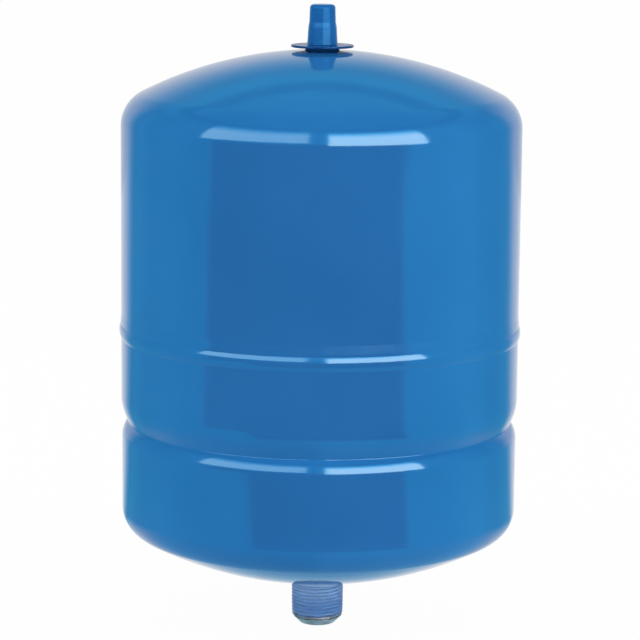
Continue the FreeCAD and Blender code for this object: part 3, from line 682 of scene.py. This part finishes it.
def turned_mesh(name, section, around):
    """Mesh of a closed section turned about Z, shaded with the section's own normals."""
    circle = circle_points(around)
    rings = [section[0][:2]]
    stretches = []
    for (r0, z0, *first), (r1, z1, *last) in zip(section, section[1:] + section[:1]):
        length = math.dist((r0, z0), (r1, z1))
        if length < SAME_PLACE:
            continue
        if first[0] * last[0] + first[1] * last[1] < CREASE_COSINE:
            first = last = ((z1 - z0) / length, (r0 - r1) / length)
        stretches.append((first, last))
        rings.append((r1, z1))
    rings.pop()
    normals = []
    for first, last in stretches:
        for step in range(around):
            here, there = circle[step], circle[(step + 1) % around]
            for (nr, nz), (x, y) in ((first, here), (first, there), (last, there), (last, here)):
                normals.append((nr * x, nr * y, nz))
    mesh = bpy.data.meshes.new(name)
    mesh.from_pydata([(r * x, r * y, z) for r, z in rings for x, y in circle],
                     [], ring_faces(len(rings), around), shade_flat=False)
    mesh.normals_split_custom_set(normals)
    return mesh


def stand_in(mesh, node, finish):
    """Piece that takes a CAD node's place on the tank."""
    made = place_object(mesh.name, mesh)
    mesh.materials.append(finish)
    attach(made, "tank")
    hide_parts(node)


def shell_part(name, node, section, paint):
    stand_in(turned_mesh(name, section, SHELL_STEPS), node, paint)


# Shell
LOWER_HEAD = (LOWER_WALL_RADIUS, LOWER_CROWN, LOWER_KNUCKLE)
UPPER_HEAD = (SHELL_RADIUS, UPPER_CROWN, UPPER_KNUCKLE)
LOWER_TANGENT_Z = LOWER_APEX_Z + head_depth(*LOWER_HEAD)
GROOVE_Z = LOWER_TANGENT_Z + LOWER_WALL_HEIGHT
SEAM_Z = GROOVE_Z + GROOVE_TO_SEAM
UPPER_TANGENT_Z = SEAM_Z + SEAM_TO_SHOULDER
LIP_Z = SEAM_Z - LIP_BELOW_SEAM
RIM_Z = LIP_Z + LAP_LENGTH
NECK_FOOT_Z = LIP_Z - NECK_HEIGHT
NECK_FOOT = (SHELL_RADIUS, NECK_FOOT_Z)
NECK_TOP = (NECK_RADIUS, NECK_FOOT_Z + NECK_BLEND)
NECK_BENDS = (NECK_BEND, NECK_BEND)


def girth_bead(paint):
    """Bead that closes the lap, from its toe on the neck to its cap on the bell."""
    neck = bent_run([(SHELL_RADIUS, NECK_FOOT_Z - NECK_BLEND), NECK_FOOT, NECK_TOP,
                     (NECK_RADIUS, LIP_Z)], NECK_BENDS)[2:]
    toe = neck[0][:2]
    crest = (BELL_RADIUS + WELD_CROWN, LIP_Z + WELD_CREST_RISE)
    cap = (BELL_RADIUS, LIP_Z + WELD_CAP_RISE)
    lip = (BELL_RADIUS, LIP_Z)
    section = (through_run(toe, crest, cap) + line_run(cap, lip)
               + line_run(lip, (NECK_RADIUS, LIP_Z)) + back_of(neck))
    shell_part("girth_bead", "girth_weld", section, paint)


def lower_shell(paint):
    corners = [(LOWER_WALL_RADIUS, LOWER_TANGENT_Z),
               (LOWER_WALL_RADIUS, GROOVE_Z - GROOVE_LIP_DROP),
               (SHELL_RADIUS - GROOVE_DEPTH, GROOVE_Z),
               (SHELL_RADIUS, GROOVE_Z + GROOVE_ENTRY_RISE),
               NECK_FOOT, NECK_TOP, (NECK_RADIUS, RIM_Z)]
    outer, inner = (head_run(-1, LOWER_TANGENT_Z, *LOWER_HEAD, NIPPLE_HOLE, offset)
                    + parallel(bent_run(corners, (*bends, *NECK_BENDS)), offset)
                    for bends, offset in ((GROOVE_FACE_BENDS, 0.0),
                                          (GROOVE_BACK_BENDS, SHELL_WALL)))
    shell_part("tank_lower_shell", "lower_shell", outer + back_of(inner), paint)


def upper_shell(paint):
    wall = bent_run([(BELL_RADIUS, LIP_Z), (BELL_RADIUS, RIM_Z),
                     (SHELL_RADIUS, RIM_Z + BELL_TAPER), (SHELL_RADIUS, UPPER_TANGENT_Z)],
                    (BELL_BEND, BELL_BEND))
    outer, inner = (parallel(wall, offset)
                    + head_run(1, UPPER_TANGENT_Z, *UPPER_HEAD, BOSS_HOLE, offset)[::-1]
                    for offset in (0.0, SHELL_WALL))
    shell_part("tank_upper_shell", "upper_shell", outer + back_of(inner), paint)


# Threaded connection
def thread_depth(phase):
    """Depth below the crest, 0 to 1, across one pitch: flat crest, flanks, flat root."""
    from_crest = abs((phase + 0.5) % 1.0 - 0.5)
    return min(1.0, max(0.0, (from_crest - HALF_FLAT) / (0.5 - 2 * HALF_FLAT)))


def stub_radius(z, turn):
    """Outside radius of the connection at a height and an angle in turns."""
    if z >= RELIEF_START:
        return RELIEF_RADIUS
    body = STUB_RADIUS if z <= THREAD_END else STUB_RADIUS - (z - THREAD_END)
    lead = STUB_END_RADIUS + (STUB_RADIUS - STUB_END_RADIUS) * z / LEAD_HEIGHT
    crest = CREST_AT_END + TAPER * z
    root = ROOT_AT_END + TAPER * z
    cut = crest - (crest - root) * thread_depth(z / PITCH - turn)
    return min(body, lead, cut)


def threaded_connection():
    heights = [RELIEF_START * row / STUB_ROWS for row in range(STUB_ROWS + 1)]
    inside = [(RELIEF_RADIUS, STUB_TOP), (SOCKET_RADIUS, STUB_TOP),
              (SOCKET_RADIUS, SOCKET_FLOOR), (BORE_RADIUS, SOCKET_FLOOR),
              (BORE_RADIUS, BORE_CHAMFER), (BORE_RADIUS + BORE_CHAMFER, 0.0)]
    rings = [([stub_radius(z, step / STUB_STEPS) for step in range(STUB_STEPS)], z)
             for z in heights]
    rings += [([radius] * STUB_STEPS, z) for radius, z in inside]
    circle = circle_points(STUB_STEPS)
    vertices = [(radius * x, radius * y, z)
                for radii, z in rings for radius, (x, y) in zip(radii, circle)]
    mesh = bpy.data.meshes.new("threaded_connection")
    mesh.from_pydata(vertices, [], ring_faces(len(rings), STUB_STEPS))
    mesh.validate()
    mesh.shade_smooth()
    mesh.set_sharp_from_angle(angle=STUB_CREASE)
    stand_in(mesh, "nipple", oversprayed_steel("connection_steel"))


make_camera()
make_world()
make_stage()

brass = turned("valve_brass", (214, 178, 106), (186, 148, 78), 0.26)
rubber = elastomer("seal_rubber", (38, 38, 41), 0.6, 1500.0)
shell_paint = enamel("shell_enamel")
FINISHES = {
    "nipple_weld": shell_paint,
    "boss_weld": shell_paint,
    "valve_boss": shell_paint,
    "valve_cap": moulded_cap("cap_plastic"),
    "clench_ring": turned("rolled_steel", (176, 180, 184), (146, 150, 156), 0.34, 3000.0),
    "diaphragm": elastomer("butyl_rubber", (34, 34, 37), 0.66, 900.0),
    "water_liner": elastomer("liner_polypropylene", (214, 218, 222), 0.38, 700.0),
    "port_grille": elastomer("grille_polypropylene", (206, 210, 214), 0.36, 900.0),
    "liner_o_ring": rubber,
    "valve_gasket": rubber,
    "poppet_seal": rubber,
    "valve_body": brass,
    "core_head": brass,
    "core_barrel": brass,
    "core_pin": brass,
    "poppet": brass,
    "core_seal": elastomer("seal_polymer", (224, 220, 206), 0.4, 1500.0),
    "core_spring": turned("spring_steel", (196, 199, 203), (160, 164, 170), 0.24),
}
for node_name, finish in FINISHES.items():
    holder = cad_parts[node_name]
    holder.data.materials.clear()
    holder.data.materials.append(finish)

girth_bead(shell_paint)
lower_shell(shell_paint)
upper_shell(shell_paint)
threaded_connection()

scene.view_settings.view_transform = "Standard"
